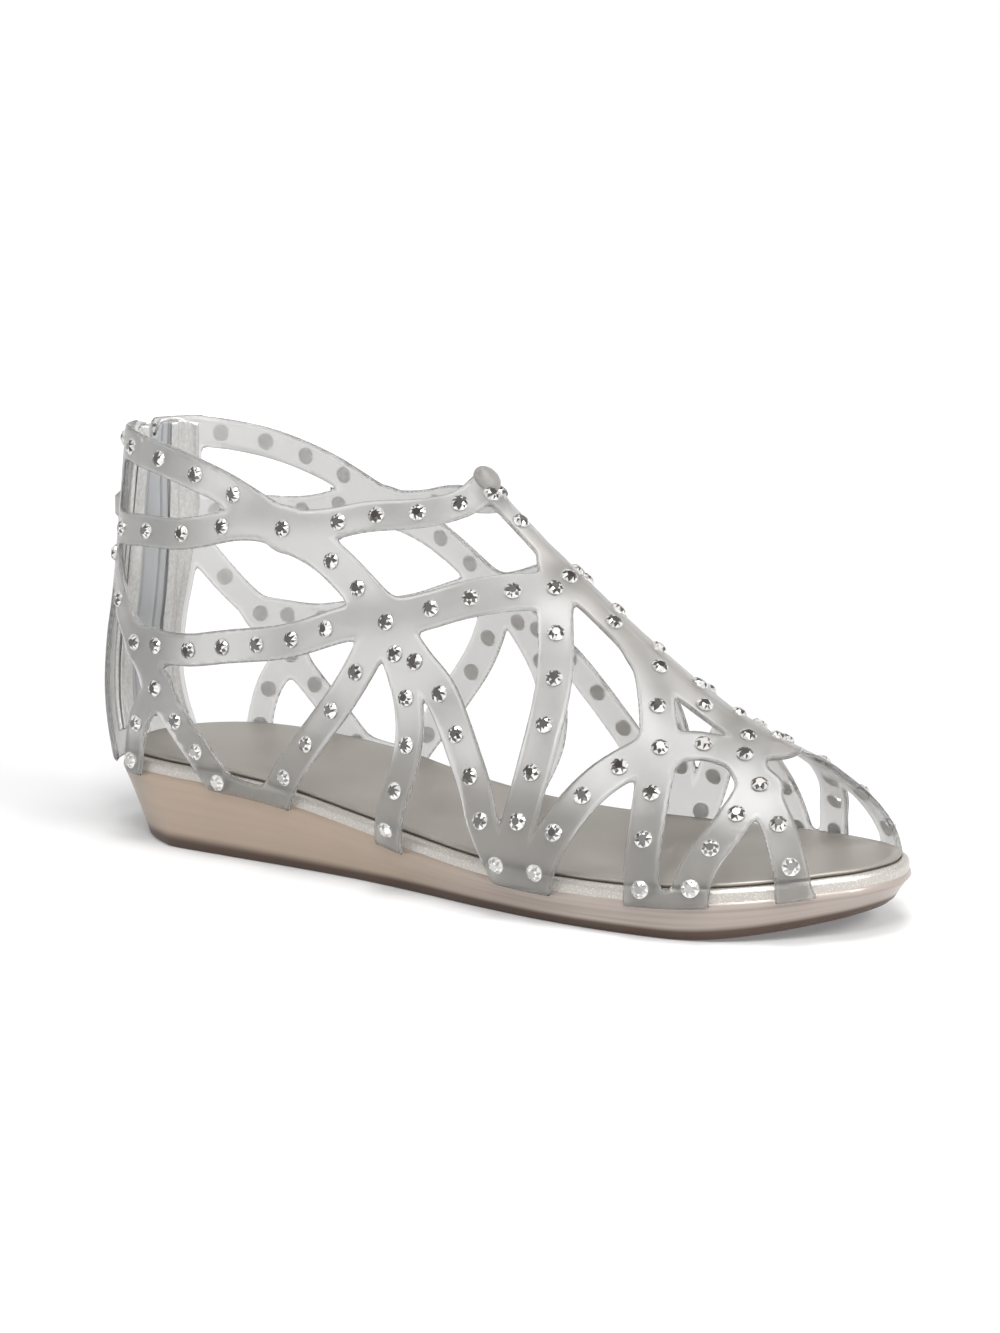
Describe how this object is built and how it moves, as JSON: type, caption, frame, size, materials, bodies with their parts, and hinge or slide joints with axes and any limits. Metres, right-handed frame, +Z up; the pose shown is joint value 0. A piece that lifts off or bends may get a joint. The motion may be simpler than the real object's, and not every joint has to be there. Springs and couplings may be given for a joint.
{
  "type": "jelly sandal",
  "caption": "Right jelly sandal: a translucent moulded cage of crossing straps with an open toe, on a wrapped insole and a low wedge, closed by a zip at the heel.",
  "frame": {"origin": "on the floor, on the flat underside of the sole, under the middle of the heel", "axes": "+X to the toe, +Y to the inner (medial) side of the right foot, +Z up"},
  "size_m": [0.2571, 0.0871, 0.1187],
  "materials": {
    "wedge_champagne": "pearly painted side, bare dark rubber low down",
    "insole_silver": "metallic coated, satin",
    "sock_silver": "metallic coated, satin",
    "jelly_frosted": "frosted translucent",
    "facing_silver": "metallic coated, crinkled",
    "zip_tape_grey": "woven",
    "zip_metal": "dark nickel"
  },
  "bodies": {
    "shoe": {"sole_unit": "wedge_champagne", "insole": "insole_silver", "sock_lining": "sock_silver", "upper": "jelly_frosted", "back_facing_lateral": "facing_silver", "back_facing_medial": "facing_silver", "zip_tape": "zip_tape_grey", "zip_chain": "zip_metal", "zip_slider": "zip_metal"},
    "pull": {"zip_pull": "zip_metal"}
  },
  "joints": [
    {"name": "pull_hinge", "type": "hinge", "parent": "shoe", "child": "pull", "pos_m": [-0.04537, 0, 0.111], "axis": [0, 1, 0], "range_deg": [0, 150]}
  ]
}
